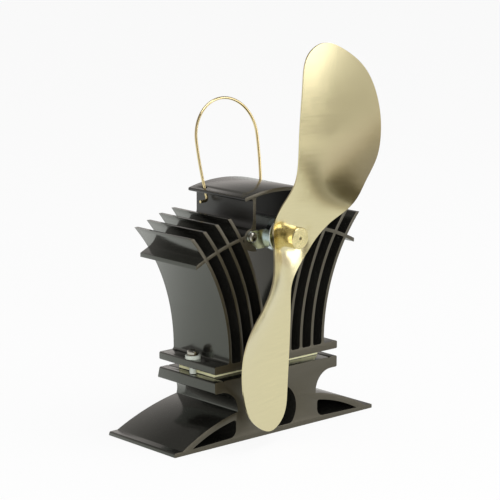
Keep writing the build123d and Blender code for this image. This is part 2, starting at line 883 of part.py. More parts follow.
def sheet_section(z):
    """Thin closed section across the sheet at a height above or below the axis."""
    half_width = blade_half_chord * blade_sheet_margin
    middle = (blade_front + blade_rear) / 2
    step = blade_thickness
    front = []
    rear = []
    for column in range(blade_columns):
        place = 2 * column / (blade_columns - 1) - 1
        x = half_width * math.copysign(abs(place) ** blade_column_spread, place)
        slope_x = (blade_offset(x + step, z) - blade_offset(x - step, z)) / (2 * step)
        slope_z = (blade_offset(x, z + step) - blade_offset(x, z - step)) / (2 * step)
        reach = blade_thickness / 2 * math.hypot(1, slope_x, slope_z)
        on_middle = Vector(x, middle + blade_offset(x, z), axis_height + z)
        front.append(on_middle - Vector(0, reach, 0))
        rear.append(on_middle + Vector(0, reach, 0))
    front_curve = Spline(*front)
    rear_curve = Spline(*rear)
    left_end = Line(rear_curve @ 0, front_curve @ 0)
    right_end = Line(front_curve @ 1, rear_curve @ 1)
    return Wire([front_curve.edge(), right_end.edge(), rear_curve.edge(), left_end.edge()])


def blade():
    """One sheet of even thickness, cut to its outline and pierced for the hub's spigot."""
    half_height = blade_radius * blade_sheet_margin
    sections = []
    for row in range(blade_rows):
        place = 2 * row / (blade_rows - 1) - 1
        z = half_height * math.copysign(abs(place) ** blade_row_spread, place)
        sections.append(sheet_section(z))
    sheet = Solid.make_loft(sections)
    cutter = push(Pos(0, axis_height) * blade_outline(),
                  blade_rear - 2 * blade_half_chord, blade_rear + blade_half_chord)
    wings = sheet & cutter
    wings = wings - turned(hub_spigot_radius, blade_front - blade_half_chord, blade_rear + blade_half_chord)
    return wings - turned(hub_radius, hub_front, blade_front) - turned(hub_radius, blade_rear, hub_rear)


# Bail handle

def bail_handle():
    """Wire loop: half circle, two slightly drawn-in legs, and feet bent outwards under the cap."""
    shoulder = bail_loop_height - bail_loop_radius
    draw_in = bail_loop_radius - bail_hole_offset
    leg_radius = (shoulder ** 2 + draw_in ** 2) / (2 * draw_in)
    leg_angle = math.degrees(math.asin(shoulder / leg_radius))
    heading = (-math.sin(math.radians(leg_angle)), -math.cos(math.radians(leg_angle)))
    quarter = JernArc((0, bail_loop_height), (1, 0), bail_loop_radius, -90)
    leg = JernArc(quarter @ 1, quarter % 1, leg_radius, -leg_angle)
    straight_end = leg @ 1 + Vector(*heading) * bail_leg_below
    straight = Line(leg @ 1, straight_end)
    bend = JernArc(straight_end, heading, bail_bend_radius, 90 + leg_angle)
    foot = Line(bend @ 1, bend @ 1 + Vector(bail_foot_length, 0))
    right = [quarter, leg, straight, bend, foot]
    left = [mirror(edge, about=Plane.YZ) for edge in right]
    edges = [edge for piece in right + left for edge in piece.edges()]
    path = Wire(edges)
    start = Plane(origin=path @ 0, z_dir=path % 0)
    wire = sweep(start * Circle(bail_wire_radius), path=path)
    hole_top = arch_height(bail_hole_offset, cap_crown_height)
    pivot = Pos(0, bail_hole_behind_middle, hole_top - cap_thickness / 2)
    return pivot * Rot(-bail_lean_degrees, 0, 0) * Rot(90, 0, 0) * wire


nodes = {
    "base": base,
    "lower_foil": lower_foil,
    "module_lower_ceramics": module_lower_ceramics,
    "module_pellets": module_pellets,
    "gasket_frame": gasket_frame,
    "module_upper_ceramics": module_upper_ceramics,
    "upper_foil": upper_foil,
    "heat_sink": heat_sink,
    "insulating_washers": insulating_washers,
    "spring_washers": spring_washers,
    "clamp_screws": clamp_screws,
    "motor_bracket": motor_bracket,
    "bracket_screws": bracket_screws,
    "motor_screws": motor_screws,
    "motor_can": motor_can,
    "motor_magnets": motor_magnets,
    "motor_end_cap": motor_end_cap,
    "motor_terminals": motor_terminals,
    "motor_brushes": motor_brushes,
    "front_bush": lambda: bush(front_bush_front, front_bush_rear),
    "rear_bush": lambda: bush(plug_front, rear_bush_rear),
    "shaft": shaft,
    "armature_core": armature_core,
    "armature_windings": armature_windings,
    "commutator": commutator,
    "thrust_washers": thrust_washers,
    "hub": hub,
    "blade_collar": blade_collar,
    "blade": blade,
    "bail_handle": bail_handle,
}

os.makedirs("parts", exist_ok=True)
for name, make in nodes.items():
    export_step(make(), os.path.join("parts", name + ".step"))
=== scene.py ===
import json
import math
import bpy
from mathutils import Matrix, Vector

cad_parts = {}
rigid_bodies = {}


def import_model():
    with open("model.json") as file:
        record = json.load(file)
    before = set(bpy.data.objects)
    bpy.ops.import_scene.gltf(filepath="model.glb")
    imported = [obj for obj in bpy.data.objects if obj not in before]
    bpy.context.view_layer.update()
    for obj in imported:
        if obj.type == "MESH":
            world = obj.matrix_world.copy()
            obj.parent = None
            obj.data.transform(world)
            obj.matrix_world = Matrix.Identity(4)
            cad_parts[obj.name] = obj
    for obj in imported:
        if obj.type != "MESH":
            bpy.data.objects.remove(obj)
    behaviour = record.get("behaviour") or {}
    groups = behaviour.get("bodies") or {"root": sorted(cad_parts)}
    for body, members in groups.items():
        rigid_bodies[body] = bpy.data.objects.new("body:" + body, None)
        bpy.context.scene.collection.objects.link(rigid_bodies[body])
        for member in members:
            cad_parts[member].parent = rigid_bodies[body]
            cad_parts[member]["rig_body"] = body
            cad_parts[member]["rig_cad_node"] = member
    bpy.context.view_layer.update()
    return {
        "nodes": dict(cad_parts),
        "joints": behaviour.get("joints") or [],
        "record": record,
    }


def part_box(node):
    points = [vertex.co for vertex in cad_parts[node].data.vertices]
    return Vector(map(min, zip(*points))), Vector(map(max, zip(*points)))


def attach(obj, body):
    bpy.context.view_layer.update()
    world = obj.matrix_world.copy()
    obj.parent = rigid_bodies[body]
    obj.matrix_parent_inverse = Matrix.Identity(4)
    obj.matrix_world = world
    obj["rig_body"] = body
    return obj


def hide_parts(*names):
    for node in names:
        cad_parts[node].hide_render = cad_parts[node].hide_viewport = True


bl_info = {
    "name": "Stove Fan",
    "version": (1, 0, 0),
    "blender": (4, 5, 0),
    "location": "3D View > Sidebar > Stove Fan",
    "description": "Finishes a heat-powered stove fan: extrusions, gold blade, motor, clamps and bail",
    "category": "Object",
}

import bpy
from bpy.props import FloatProperty, FloatVectorProperty, PointerProperty
from mathutils import Vector

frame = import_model()

MM = 0.001

# Places that the finishes are worked out from
JOINTS = {joint["name"]: joint for joint in frame["joints"]}
FAN_AXIS = Vector(JOINTS["fan_spin"]["pos_m"])
BRACKET_LOW, BRACKET_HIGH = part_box("motor_bracket")
BAIL_LOW, BAIL_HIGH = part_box("bail_handle")

# The body of each node
BODIES = {
    node: body
    for body, nodes in frame["record"]["behaviour"]["bodies"].items()
    for node in nodes
}

# How the copied extrusions are merged, flattened and bevelled
MERGE_DISTANCE = 0.002 * MM
FLAT_ANGLE = math.radians(0.2)
SHARP_ANGLE = math.radians(28.0)
EDGE_SEGMENTS = 2

# How squarely a face looks along an axis, as the part of its normal that does
SQUARELY = 0.85
MOSTLY = 0.6

# Patterns of the finishes: features in a metre, and real depths
DIE_LINES_ALONG = 6.0
ANODISED_CLOUDS = 28.0
DIE_LINE_DEPTH = 0.003 * MM
SAW_MARKS_ALONG = 40.0
SAWN_GRIT = 1800.0
SAW_MARK_DEPTH = 0.008 * MM
DULL_CLOUDS = 60.0
GRAIN_LINES_ALONG = 60.0
BLADE_CLOUDS = 22.0
GRAIN_DEPTH = 0.0012 * MM
RING_PITCH = 0.22 * MM
TURNED_CLOUDS = 300.0
RING_DEPTH = 0.006 * MM
PLATED_CLOUDS = 260.0
PLATED_FINE_FACTOR = 9.0
PLATED_DEPTH = 0.001 * MM
MINERAL_GRIT = 900.0
MINERAL_CLOUD_FACTOR = 0.1
MINERAL_DEPTH = 0.01 * MM

# Distance between two rings of the ring texture, at the texture's own scale
TEXTURE_RING_PITCH = 0.31

# The part of a noise's range in which nearly all of its values lie
NOISE_LOW = 0.3
NOISE_HIGH = 0.7

# Camera, from the straight edges of both extrusions
CAMERA_PLACE = Vector((-0.75064, -0.84353, 0.33037))
CAMERA_YAW = math.radians(41.69)
CAMERA_PITCH = math.radians(11.46)
CAMERA_FOCAL_PIXELS = 2038.94
CAMERA_NEAR = 10.0 * MM
PICTURE_PIXELS = 500.0
SENSOR_WIDTH = 36.0

# A new camera looks straight down, and this turns it level
LEVEL = math.radians(90.0)

# Lamps, each by its direction from the object and its width, with azimuths from the front to the right
LAMP_AIM = Vector((0.0, 0.0, 110.0 * MM))
LAMP_DISTANCE = 1.5
KEY_AZIMUTH = math.radians(32.0)
KEY_ELEVATION = math.radians(13.0)
KEY_WIDTH = 0.8
TOP_AZIMUTH = math.radians(20.0)
TOP_ELEVATION = math.radians(70.0)
TOP_WIDTH = 0.9
FRONT_AZIMUTH = math.radians(-36.0)
FRONT_ELEVATION = math.radians(4.0)
FRONT_WIDTH = 0.9

# The floor, and the shares of the way to its darkest place between which it fades
FLOOR_WIDTH = 16.0
FLOOR_ROUGHNESS = 0.9
OPEN_FLOOR_NEAR = 0.50
OPEN_FLOOR_FAR = 0.80

# The mirrored room, on a ball of radius 1: where its open side lies and fades, and between which heights
# it darkens towards the top
OPEN_SIDE_ELEVATION = math.radians(4.0)
OPEN_SIDE_NEAR = 0.30
OPEN_SIDE_FAR = 0.54
ROOM_LOW = 0.15
ROOM_HIGH = 0.75

WHITE = (1.0, 1.0, 1.0)


def colour(name, description, default):
    """A colour property, linear and opaque."""
    return FloatVectorProperty(name=name, description=description, default=default,
                               subtype="COLOR", size=3, min=0.0, max=1.0)


def length(name, description, default):
    """A length property in metres."""
    return FloatProperty(name=name, description=description, default=default,
                         unit="LENGTH", min=0.0, precision=5)


def power(name, description, default):
    """A lamp's power in watts."""
    return FloatProperty(name=name, description=description, default=default, unit="POWER", min=0.0)


def brightness(name, description, default):
    """A brightness, where 1 is white."""
    return FloatProperty(name=name, description=description, default=default, min=0.0)


def share(name, description, default):
    """A share from 0 to 1."""
    return FloatProperty(name=name, description=description, default=default,
                         subtype="FACTOR", min=0.0, max=1.0)


def azimuth(name, description, degrees):
    """An angle from the front towards the right, shown in degrees and kept in radians."""
    return FloatProperty(name=name, description=description, default=math.radians(degrees), subtype="ANGLE")


class StoveFanSizes(bpy.types.PropertyGroup):
    """Sizes that only the finish needs."""

    sawn_edge: length("Sawn edge", "Width of the broken edge round the sawn ends", 0.30 * MM)
    grain_width: length("Grain width", "Width of the brushed lines on the blade", 0.35 * MM)
    saw_pitch: length("Saw pitch", "Distance between saw marks on the sawn ends", 0.55 * MM)
    die_line: length("Die line", "Width of the lines that the die leaves along the extrusions", 0.5 * MM)


class StoveFanColours(bpy.types.PropertyGroup):
    """Colours of the finishes, those inside the motor and the modules last."""

    anodised: colour("Anodised black", "Broad faces of the extrusions", (0.0085, 0.0082, 0.0070))
    sawn: colour("Sawn black", "Sawn ends of the extrusions", (0.024, 0.020, 0.012))
    gold: colour("Blade gold", "Satin sheet of the blade", (0.82, 0.74, 0.47))
    brass: colour("Hub brass", "Turned hub and collar", (0.80, 0.70, 0.38))
    wire: colour("Wire gold", "Bail wire", (0.85, 0.71, 0.40))
    zinc: colour("Zinc", "Plated bracket", (0.72, 0.80, 0.82))
    stainless: colour("Stainless steel", "Screws", (0.50, 0.49, 0.44))
    spring: colour("Spring steel", "Browned spring washers", (0.20, 0.14, 0.09))
    insulator: colour("Insulator", "Shoulder washers", (0.46, 0.49, 0.43))
    gasket: colour("Gasket", "Seal round the modules", (0.98, 0.92, 0.56))
    ceramic: colour("Ceramic", "Plates of the modules", (0.80, 0.76, 0.58))
    graphite: colour("Graphite", "Thermal foils", (0.07, 0.07, 0.07))
    pellet: colour("Pellet", "Thermoelectric legs", (0.35, 0.35, 0.36))
    can: colour("Motor steel", "Can of the motor", (0.55, 0.56, 0.57))
    moulding: colour("Moulding", "End cap of the motor", (0.03, 0.03, 0.03))
    ferrite: colour("Ferrite", "Magnets", (0.08, 0.08, 0.08))
    contact: colour("Contact brass", "Terminals and brushes", (0.78, 0.66, 0.36))
    bronze: colour("Bronze", "Sintered bushes", (0.50, 0.34, 0.17))
    shaft: colour("Ground steel", "Shaft", (0.62, 0.62, 0.62))
    core: colour("Core steel", "Armature core", (0.28, 0.28, 0.29))
    copper: colour("Copper", "Coils and commutator", (0.62, 0.27, 0.11))
    washer: colour("Washer plastic", "Thrust washers", (0.72, 0.71, 0.66))


class StoveFanStudio(bpy.types.PropertyGroup):
    """Light and floor."""

    key_power: power("Key power", "Power of the large soft lamp in front on the right", 4.8)
    top_power: power("Top power", "Power of the soft lamp overhead", 8.0)
    front_power: power("Front power", "Power of the low lamp that only matt pieces show", 20.0)
    room_light: brightness("Room light", "Strength of the even light of the room", 0.5)
    room_horizon: brightness("Room horizon", "Strength of the mirrored room near the horizon", 0.62)
    room_top: brightness("Room top", "Strength of the mirrored room overhead", 0.18)
    open_side: azimuth("Open side", "Where the studio's dark, open side is", -32.0)
    open_floor_side: azimuth("Open floor side", "Where the floor's darkest place is", -10.0)
    open_side_distance: length("Open side distance", "How far out the floor is darkest", 1.5)
    open_side_level: brightness("Open side level", "How bright the open side is", 0.14)
    floor_glow: brightness("Floor glow", "Brightness of the floor in reflections", 0.80)
    floor_share: share("Floor share", "How much of that is even, without shadows", 0.9)
    floor_white: share("Floor white", "How much of the white floor is even for the camera", 0.9)
    open_side_tone: colour("Open side tone", "Warm tone of the open side", (1.0, 0.86, 0.52))
    room_tone: colour("Room tone", "Tone of the mirrored room", (1.0, 0.94, 0.90))
    floor_tone: colour("Floor tone", "Tone of the mirrored floor", (0.985, 1.0, 0.95))
    floor: colour("Floor", "Pale floor", (0.90, 0.90, 0.90))


def settings():
    """The user's sizes, colours and studio values."""
    scene = bpy.context.scene
    return scene.stove_fan_sizes, scene.stove_fan_colours, scene.stove_fan_studio


def scaled(tone, factor):
    """A colour made lighter or darker."""
    return tuple(min(channel * factor, 1.0) for channel in tone)


def direction(turn, rise=0.0):
    """Unit vector from the object, at an azimuth and an elevation."""
    return Vector((math.sin(turn) * math.cos(rise), -math.cos(turn) * math.cos(rise), math.sin(rise)))


class Pattern:
    """Nodes of one tree, whose patterns all read the same coordinates."""

    def __init__(self, tree, coordinates):
        self.nodes = tree.nodes
        self.links = tree.links
        self.place = self.nodes.new("ShaderNodeTexCoord").outputs[coordinates]

    def feed(self, value, socket):
        """Set a socket to a number, or link a pattern value to it."""
        if isinstance(value, (int, float)):
            socket.default_value = value
        else:
            self.links.new(value, socket)

    def stretched(self, per_metre, origin=(0.0, 0.0, 0.0)):
        """Coordinates scaled by three frequencies, in features in a metre, about a place."""
        moved = self.nodes.new("ShaderNodeVectorMath")
        moved.operation = "SUBTRACT"
        moved.inputs[1].default_value = origin
        self.links.new(self.place, moved.inputs[0])
        grown = self.nodes.new("ShaderNodeVectorMath")
        grown.operation = "MULTIPLY"
        grown.inputs[1].default_value = per_metre
        self.links.new(moved.outputs[0], grown.inputs[0])
        return grown.outputs[0]

    def noise(self, per_metre, detail=3.0, roughness=0.55):
        """Noise with one frequency, or with its own along each axis."""
        if isinstance(per_metre, (int, float)):
            per_metre = (per_metre,) * 3
        texture = self.nodes.new("ShaderNodeTexNoise")
        texture.inputs["Scale"].default_value = 1.0
        texture.inputs["Detail"].default_value = detail
        texture.inputs["Roughness"].default_value = roughness
        self.links.new(self.stretched(per_metre), texture.inputs["Vector"])
        return texture.outputs["Fac"]

    def rings(self, pitch, origin, distortion=0.4, detail=2.0):
        """Turned rings round an axis along Y."""
        texture = self.nodes.new("ShaderNodeTexWave")
        texture.wave_type = "RINGS"
        texture.rings_direction = "Y"
        texture.inputs["Scale"].default_value = 1.0
        texture.inputs["Distortion"].default_value = distortion
        texture.inputs["Detail"].default_value = detail
        per_metre = TEXTURE_RING_PITCH / pitch
        self.links.new(self.stretched((per_metre,) * 3, origin), texture.inputs["Vector"])
        return texture.outputs["Fac"]

    def spread(self, value, low, high, start=NOISE_LOW, end=NOISE_HIGH):
        """A pattern value mapped from start..end to low..high."""
        ramp = self.nodes.new("ShaderNodeMapRange")
        ramp.inputs["From Min"].default_value = start
        ramp.inputs["From Max"].default_value = end
        ramp.inputs["To Min"].default_value = low
        ramp.inputs["To Max"].default_value = high
        self.links.new(value, ramp.inputs["Value"])
        return ramp.outputs["Result"]

    def tint(self, value, first, second):
        """A colour that follows a pattern value between two colours."""
        mix = self.nodes.new("ShaderNodeMix")
        mix.data_type = "RGBA"
        mix.inputs["A"].default_value = (*first, 1.0)
        mix.inputs["B"].default_value = (*second, 1.0)
        self.links.new(value, mix.inputs["Factor"])
        return mix.outputs["Result"]

    def blend(self, first, second, second_share=0.5):
        """Two pattern values blended."""
        mix = self.nodes.new("ShaderNodeMix")
        mix.inputs["Factor"].default_value = second_share
        self.links.new(first, mix.inputs["A"])
        self.links.new(second, mix.inputs["B"])
        return mix.outputs["Result"]


class Finish(Pattern):
    """A node material, whose patterns read the piece's own coordinates."""

    def __init__(self, name):
        self.material = bpy.data.materials.new(name)
        self.material.use_nodes = True
        super().__init__(self.material.node_tree, "Object")
        self.shader = self.nodes["Principled BSDF"]

    def set(self, **values):
        """Set the shader's own sockets, named with underscores for spaces."""
        for name, value in values.items():
            self.shader.inputs[name.replace("_", " ")].default_value = value

    def shade(self, value, tone, darkest, lightest):
        """Base colour that follows a pattern value between a darker and a lighter tone."""
        mixed = self.tint(self.spread(value, 0.0, 1.0), scaled(tone, darkest), scaled(tone, lightest))
        self.links.new(mixed, self.shader.inputs["Base Color"])

    def roughen(self, value, smooth, rough):
        """Roughness that follows a pattern value."""
        self.links.new(self.spread(value, smooth, rough), self.shader.inputs["Roughness"])

    def relief(self, height, depth):
        """Bump of a real depth in metres."""
        bump = self.nodes.new("ShaderNodeBump")
        bump.inputs["Strength"].default_value = 1.0
        bump.inputs["Distance"].default_value = depth
        self.links.new(height, bump.inputs["Height"])
        self.links.new(bump.outputs["Normal"], self.shader.inputs["Normal"])


def anodised_finish(name, tone, sizes):
    """Black anodised extrusion: satin, with faint lines that the die left along its length."""
    finish = Finish(name)
    across = 1.0 / sizes.die_line
    lines = finish.noise((across, DIE_LINES_ALONG, across), detail=2.0)
    cloud = finish.noise(ANODISED_CLOUDS, detail=4.0)
    finish.shade(cloud, tone, darkest=0.75, lightest=1.3)
    finish.roughen(finish.blend(lines, cloud, second_share=0.45), smooth=0.13, rough=0.22)
    finish.set(Metallic=0.0, Specular_IOR_Level=1.0, Specular_Tint=(0.94, 0.99, 0.87, 1.0))
    finish.set(Coat_Weight=0.35, Coat_Roughness=0.10)
    finish.relief(lines, DIE_LINE_DEPTH)
    return finish.material


def sawn_finish(name, tone, sizes):
    """Sawn end of a black extrusion: duller and browner, with fine saw marks."""
    finish = Finish(name)
    marks = finish.noise((SAW_MARKS_ALONG, SAW_MARKS_ALONG, 1.0 / sizes.saw_pitch), detail=2.0)
    grit = finish.noise(SAWN_GRIT)
    rubbed = finish.blend(marks, grit)
    finish.shade(rubbed, tone, darkest=0.8, lightest=1.25)
    finish.roughen(grit, smooth=0.34, rough=0.46)
    finish.set(Metallic=0.0, Specular_IOR_Level=1.0, Specular_Tint=(1.0, 0.94, 0.78, 1.0))
    finish.relief(rubbed, SAW_MARK_DEPTH)
    return finish.material


def dull_finish(name, tone, gloss, smooth, rough):
    """Walls of the heat sink's box, duller than its other faces, and without lines."""
    finish = Finish(name)
    cloud = finish.noise(DULL_CLOUDS, detail=4.0)
    finish.shade(cloud, tone, darkest=0.8, lightest=1.2)
    finish.roughen(cloud, smooth, rough)
    finish.set(Metallic=0.0, Specular_IOR_Level=gloss)
    return finish.material


def brushed_finish(name, tone, sizes):
    """Pale gold sheet with fine brushed lines across the blade."""
    finish = Finish(name)
    per_metre = (GRAIN_LINES_ALONG, GRAIN_LINES_ALONG, 1.0 / sizes.grain_width)
    grain = finish.noise(per_metre, roughness=0.65)
    cloud = finish.noise(BLADE_CLOUDS, detail=2.0)
    finish.shade(grain, tone, darkest=0.96, lightest=1.03)
    finish.roughen(finish.blend(grain, cloud, second_share=0.4), smooth=0.18, rough=0.25)
    finish.set(Metallic=1.0)
    finish.relief(grain, GRAIN_DEPTH)
    return finish.material


def turned_finish(name, tone, centre):
    """Turned metal with fine rings round the fan's axis."""
    finish = Finish(name)
    rings = finish.rings(RING_PITCH, centre)
    cloud = finish.noise(TURNED_CLOUDS)
    finish.shade(cloud, tone, darkest=0.88, lightest=1.08)
    finish.roughen(cloud, smooth=0.20, rough=0.32)
    finish.set(Metallic=1.0)
    finish.relief(rings, RING_DEPTH)
    return finish.material


def plated_finish(name, tone, roughness, clouds=PLATED_CLOUDS, contrast=0.2):
    """Plated or bare metal with soft clouding."""
    finish = Finish(name)
    cloud = finish.noise(clouds, detail=4.0)
    fine = finish.noise(clouds * PLATED_FINE_FACTOR, detail=2.0)
    mixed = finish.blend(cloud, fine, second_share=0.4)
    finish.shade(mixed, tone, darkest=1.0 - contrast, lightest=1.0 + contrast)
    finish.roughen(mixed, smooth=0.8 * roughness, rough=1.3 * roughness)
    finish.set(Metallic=1.0)
    finish.relief(fine, PLATED_DEPTH)
    return finish.material


def mineral_finish(name, tone, roughness, contrast=0.12):
    """Ceramic, rubber, plastic or foil: not metal, with a fine grit."""
    finish = Finish(name)
    cloud = finish.noise(MINERAL_GRIT * MINERAL_CLOUD_FACTOR)
    fine = finish.noise(MINERAL_GRIT)
    finish.shade(finish.blend(cloud, fine), tone, darkest=1.0 - contrast, lightest=1.0 + contrast)
    finish.roughen(fine, smooth=0.9 * roughness, rough=1.1 * roughness)
    finish.set(Metallic=0.0)
    finish.relief(fine, MINERAL_DEPTH)
    return finish.material


def give_finish(material, *nodes):
    """Give nodes of the frame a finish, in the slot that each came with."""
    for node in nodes:
        piece = frame["nodes"][node]
        if not piece.data.materials:
            piece.data.materials.append(material)
        piece.material_slots[0].material = material


def only(piece):
    """Select one object and make it active."""
    if bpy.context.mode != "OBJECT":
        bpy.ops.object.mode_set(mode="OBJECT")
    bpy.ops.object.select_all(action="DESELECT")
    piece.select_set(True)
    bpy.context.view_layer.objects.active = piece


def working_copy(node, name):
    """A copy of a node's mesh with its triangles merged and its flat faces whole again."""
    only(frame["nodes"][node])
    bpy.ops.object.duplicate()
    piece = bpy.context.view_layer.objects.active
    bpy.ops.object.parent_clear(type="CLEAR_KEEP_TRANSFORM")
    piece.name = name
    piece.data.name = name
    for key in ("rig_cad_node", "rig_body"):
        if key in piece:
            del piece[key]
    bpy.ops.object.mode_set(mode="EDIT")
    bpy.ops.mesh.select_all(action="SELECT")
    bpy.ops.mesh.customdata_custom_splitnormals_clear()
    bpy.ops.mesh.remove_doubles(threshold=MERGE_DISTANCE)
    bpy.ops.mesh.dissolve_limited(angle_limit=FLAT_ANGLE)
    bpy.ops.object.mode_set(mode="OBJECT")
    return piece


def break_edges(piece, width):
    """Bevel the sharp edges of a piece and smooth what is round."""
    only(piece)
    bevel = piece.modifiers.new("Edge break", "BEVEL")
    bevel.width = width
    bevel.segments = EDGE_SEGMENTS
    bevel.limit_method = "ANGLE"
    bevel.angle_limit = SHARP_ANGLE
    bevel.use_clamp_overlap = True
    bpy.ops.object.modifier_apply(modifier=bevel.name)
    bpy.ops.object.shade_smooth_by_angle(angle=SHARP_ANGLE)


def paint_faces(piece, material, chosen):
    """Add a material and give it to the faces that the test chooses."""
    piece.data.materials.append(material)
    index = len(piece.data.materials) - 1
    for face in piece.data.polygons:
        if chosen(face):
            face.material_index = index


def on_sawn_end(face):
    """Whether a face looks along the length of its extrusion."""
    return abs(face.normal.y) > SQUARELY


def inside_box(face):
    """Whether a face of the heat sink looks into the box that the bracket stands in."""
    at_height = BRACKET_LOW.z < face.center.z < BAIL_LOW.z
    between = abs(face.center.x) < BRACKET_HIGH.x
    inwards = face.center.x * face.normal.x < 0.0
    return at_height and between and inwards and abs(face.normal.x) > SQUARELY


def beside_box(face):
    """Whether a face of the heat sink is on the outside of the box, under the cap."""
    at_height = FAN_AXIS.z < face.center.z < BAIL_HIGH.z
    near = abs(face.center.x) < BAIL_HIGH.x
    outwards = face.center.x * face.normal.x > 0.0
    return at_height and near and outwards and abs(face.normal.x) > MOSTLY


def stands_for(piece, node):
    """The piece rides where its node rides and takes its place."""
    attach(piece, BODIES[node])
    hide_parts(node)


class StoveFanOperator:
    """What all the operators share."""

    bl_options = {"REGISTER", "UNDO"}


class STOVEFAN_OT_extrusions(StoveFanOperator, bpy.types.Operator):
    """Finish the heat sink and the base: satin broad faces, sawn ends, a dull box and broken edges"""

    bl_idname = "stove_fan.extrusions"
    bl_label = "Extrusions"

    def execute(self, context):
        sizes, colours, _ = settings()
        sawn = sawn_finish("sawn_black", colours.sawn, sizes)
        broad = anodised_finish("anodised_black", colours.anodised, sizes)
        inside = dull_finish("dull_black", colours.anodised, gloss=0.25, smooth=0.42, rough=0.55)
        outside = dull_finish("half_dull_black", colours.anodised, gloss=0.85, smooth=0.30, rough=0.40)
        for node in ("heat_sink", "base"):
            piece = working_copy(node, f"{node}_extrusion")
            piece.data.materials.clear()
            piece.data.materials.append(broad)
            paint_faces(piece, sawn, on_sawn_end)
            if node == "heat_sink":
                paint_faces(piece, inside, inside_box)
                paint_faces(piece, outside, beside_box)
            break_edges(piece, sizes.sawn_edge)
            stands_for(piece, node)
        return {"FINISHED"}


class STOVEFAN_OT_sandwich(StoveFanOperator, bpy.types.Operator):
    """Finish the thermoelectric modules, their gasket and the foils"""

    bl_idname = "stove_fan.sandwich"
    bl_label = "Thermoelectric sandwich"

    def execute(self, context):
        _, colours, _ = settings()
        alumina = mineral_finish("alumina", colours.ceramic, roughness=0.45)
        give_finish(alumina, "module_upper_ceramics", "module_lower_ceramics")
        give_finish(mineral_finish("silicone_seal", colours.gasket, roughness=0.55), "gasket_frame")
        give_finish(mineral_finish("graphite", colours.graphite, roughness=0.5), "upper_foil", "lower_foil")
        give_finish(plated_finish("pellet_grey", colours.pellet, roughness=0.5), "module_pellets")
        return {"FINISHED"}


class STOVEFAN_OT_clamps(StoveFanOperator, bpy.types.Operator):
    """Finish all the screws, and the shoulder and spring washers of the clamps"""

    bl_idname = "stove_fan.clamps"
    bl_label = "Screws and washers"

    def execute(self, context):
        _, colours, _ = settings()
        steel = plated_finish("stainless", colours.stainless, roughness=0.12, clouds=150.0, contrast=0.05)
        give_finish(steel, "clamp_screws", "bracket_screws", "motor_screws")
        give_finish(mineral_finish("insulator", colours.insulator, roughness=0.4), "insulating_washers")
        give_finish(plated_finish("browned_spring", colours.spring, roughness=0.35), "spring_washers")
        return {"FINISHED"}


class STOVEFAN_OT_motor(StoveFanOperator, bpy.types.Operator):
    """Finish the bracket and the motor that it holds"""

    bl_idname = "stove_fan.motor"
    bl_label = "Bracket and motor"

    def execute(self, context):
        _, colours, _ = settings()
        zinc = plated_finish("zinc_plate", colours.zinc, roughness=0.18, contrast=0.08)
        give_finish(zinc, "motor_bracket")
        give_finish(plated_finish("motor_steel", colours.can, roughness=0.3), "motor_can")
        give_finish(mineral_finish("black_moulding", colours.moulding, roughness=0.5), "motor_end_cap")
        give_finish(mineral_finish("ferrite", colours.ferrite, roughness=0.7), "motor_magnets")
        contact = plated_finish("tinned_brass", colours.contact, roughness=0.25)
        give_finish(contact, "motor_terminals", "motor_brushes")
        bronze = plated_finish("sintered_bronze", colours.bronze, roughness=0.5)
        give_finish(bronze, "front_bush", "rear_bush")
        return {"FINISHED"}


class STOVEFAN_OT_rotor(StoveFanOperator, bpy.types.Operator):
    """Finish the shaft and what turns with it inside the motor"""

    bl_idname = "stove_fan.rotor"
    bl_label = "Rotor"

    def execute(self, context):
        _, colours, _ = settings()
        give_finish(plated_finish("ground_steel", colours.shaft, roughness=0.2), "shaft")
        give_finish(plated_finish("core_steel", colours.core, roughness=0.5), "armature_core")
        copper = plated_finish("enamelled_copper", colours.copper, roughness=0.3)
        give_finish(copper, "armature_windings", "commutator")
        give_finish(mineral_finish("washer_plastic", colours.washer, roughness=0.5), "thrust_washers")
        return {"FINISHED"}


class STOVEFAN_OT_blade(StoveFanOperator, bpy.types.Operator):
    """Finish the blade, the hub and the collar"""

    bl_idname = "stove_fan.blade"
    bl_label = "Blade and hub"

    def execute(self, context):
        sizes, colours, _ = settings()
        give_finish(brushed_finish("brushed_gold", colours.gold, sizes), "blade")
        give_finish(turned_finish("turned_brass", colours.brass, FAN_AXIS), "hub", "blade_collar")
        return {"FINISHED"}


class STOVEFAN_OT_bail(StoveFanOperator, bpy.types.Operator):
    """Finish the bail wire"""

    bl_idname = "stove_fan.bail"
    bl_label = "Bail"

    def execute(self, context):
        _, colours, _ = settings()
        gilt = plated_finish("gold_plate", colours.wire, roughness=0.16, clouds=90.0, contrast=0.06)
        give_finish(gilt, "bail_handle")
        return {"FINISHED"}


